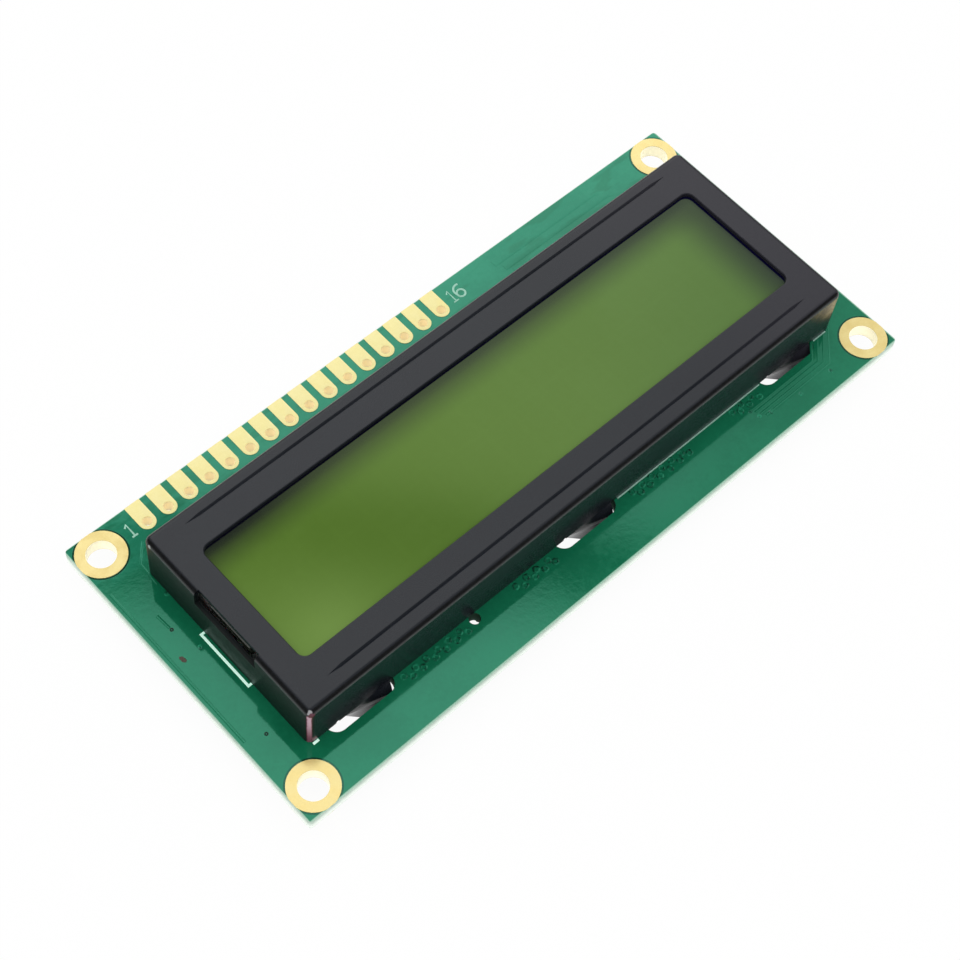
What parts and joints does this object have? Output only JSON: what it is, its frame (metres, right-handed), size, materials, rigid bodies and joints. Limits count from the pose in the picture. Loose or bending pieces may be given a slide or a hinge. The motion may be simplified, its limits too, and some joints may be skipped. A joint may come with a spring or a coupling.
{
  "type": "character lcd module",
  "caption": "Flat character display module: glass cell and edge-lit backlight held on a green board by a black pressed bezel with twisted tabs, with header pads along one edge.",
  "frame": {"origin": "centre of the four mounting holes on the back face of the circuit board", "axes": "+X along the board from header hole 1 towards header hole 16, +Y towards the header edge, +Z out of the display face"},
  "size_m": [0.08, 0.036, 0.0102],
  "materials": {
    "solder_mask": "glossy green solder mask over glass fibre board",
    "gold_plating": "flash gold over copper",
    "legend_ink": "printed legend ink",
    "bezel_black": "satin black paint on pressed steel",
    "display_polariser": "yellow green display seen through the polariser",
    "clear_glass": "clear float glass",
    "seal_resin": "cured seal resin",
    "liquid_crystal": "thin liquid layer, yellow green",
    "clear_resin": "clear cured resin",
    "rear_film": "half mirrored film",
    "white_film": "white film",
    "clear_acrylic": "clear moulded acrylic",
    "tray_white": "white moulded plastic",
    "led_board_white": "white coated strip board",
    "led_package": "white moulded package",
    "tinned_metal": "bright tin",
    "strip_rubber": "silicone with carbon layers",
    "black_resin": "black cured resin",
    "silicon": "bare silicon",
    "resistor_black": "black glazed ceramic",
    "capacitor_tan": "tan ceramic"
  },
  "bodies": {
    "root": {"circuit_board": "solder_mask", "mounting_hole_plating": "gold_plating", "header_pads": "gold_plating", "legend_marks": "legend_ink", "bezel": "bezel_black", "front_polariser": "display_polariser", "front_glass": "clear_glass", "cell_seal": "seal_resin", "liquid_crystal": "liquid_crystal", "end_seal": "clear_resin", "rear_glass": "clear_glass", "rear_polariser": "rear_film", "diffuser_film": "white_film", "light_guide": "clear_acrylic", "reflector_sheet": "white_film", "backlight_tray": "tray_white", "led_board": "led_board_white", "led_bodies": "led_package", "backlight_leads": "tinned_metal", "lead_pads": "gold_plating", "lead_solder": "tinned_metal", "elastomer_strip_front": "strip_rubber", "elastomer_strip_rear": "strip_rubber", "strip_contacts": "gold_plating", "controller_blob": "black_resin", "controller_die": "silicon", "driver_blob": "black_resin", "driver_die": "silicon", "resistor_bodies": "resistor_black", "resistor_caps": "tinned_metal", "capacitor_bodies": "capacitor_tan", "capacitor_caps": "tinned_metal"}
  },
  "joints": []
}
